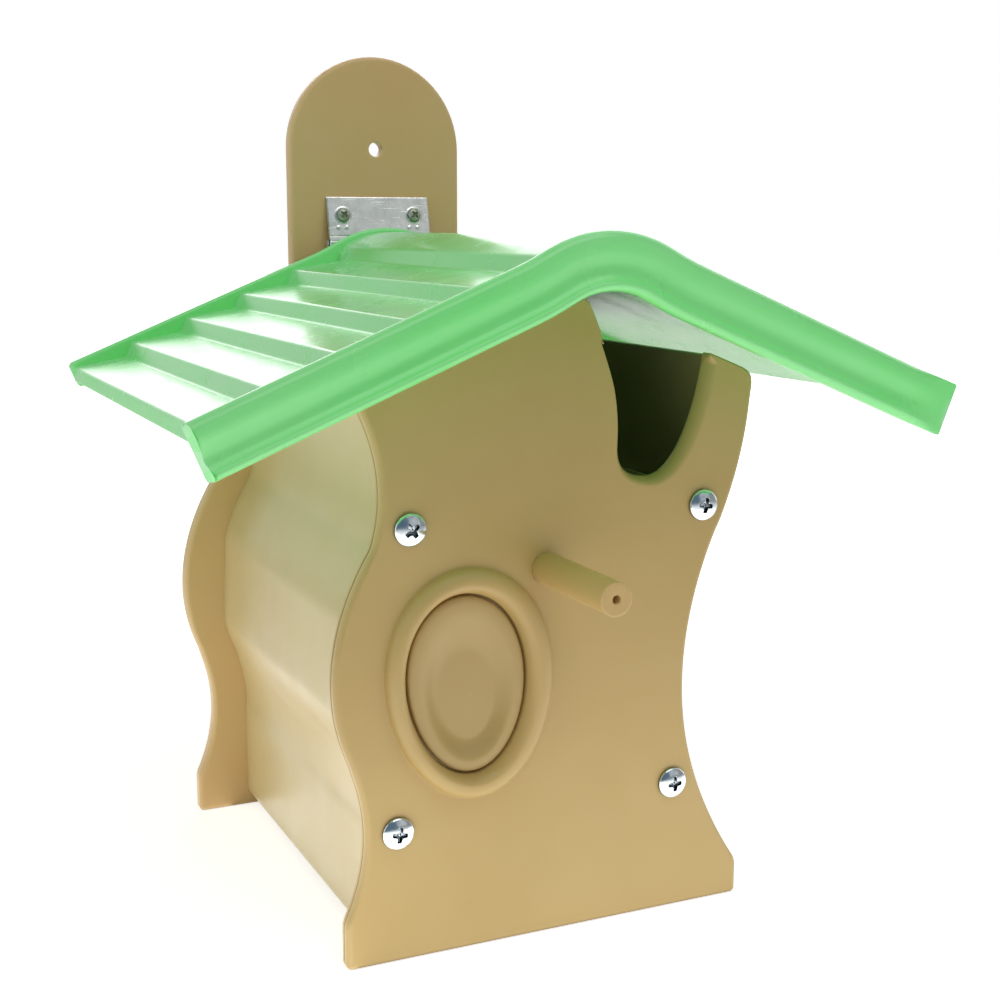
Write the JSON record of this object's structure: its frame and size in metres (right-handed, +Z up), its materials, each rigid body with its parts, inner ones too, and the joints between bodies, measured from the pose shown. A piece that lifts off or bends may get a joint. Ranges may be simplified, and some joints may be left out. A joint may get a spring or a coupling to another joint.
{
  "type": "bird nest box",
  "caption": "Plastic bird nest box with curved sides, open-topped entry, perch, raised egg ornament, hanging tongue and a hinged stepped roof.",
  "frame": {"origin": "on the ground under the middle of the whole object's box", "axes": "+X to the right as seen from the front, +Y from the front panel to the back panel, +Z up"},
  "size_m": [0.2366, 0.194, 0.2808],
  "materials": {
    "tan_plastic": "satin injection-moulded polypropylene, tan",
    "green_plastic": "glossy injection-moulded polypropylene, light green",
    "zinc_steel": "bright zinc-plated steel",
    "aluminium": "mill-finish aluminium sheet, lightly scratched"
  },
  "bodies": {
    "house": {"front_panel": "tan_plastic", "egg_plug": "tan_plastic", "perch": "tan_plastic", "perch_screw": "zinc_steel", "body_shell": "tan_plastic", "back_panel": "tan_plastic", "front_screws": "zinc_steel", "rear_screws": "zinc_steel", "hinge_fixed_leaf": "aluminium", "hinge_pin": "zinc_steel", "tongue_screws": "zinc_steel"},
    "roof_lid": {"roof": "green_plastic", "hinge_moving_leaf": "aluminium", "roof_leaf_screws": "zinc_steel"}
  },
  "joints": [
    {"name": "roof_lift", "type": "hinge", "parent": "house", "child": "roof_lid", "pos_m": [0, 0.0896, 0.213], "axis": [-1, 0, 0], "range_deg": [0, 43]}
  ]
}
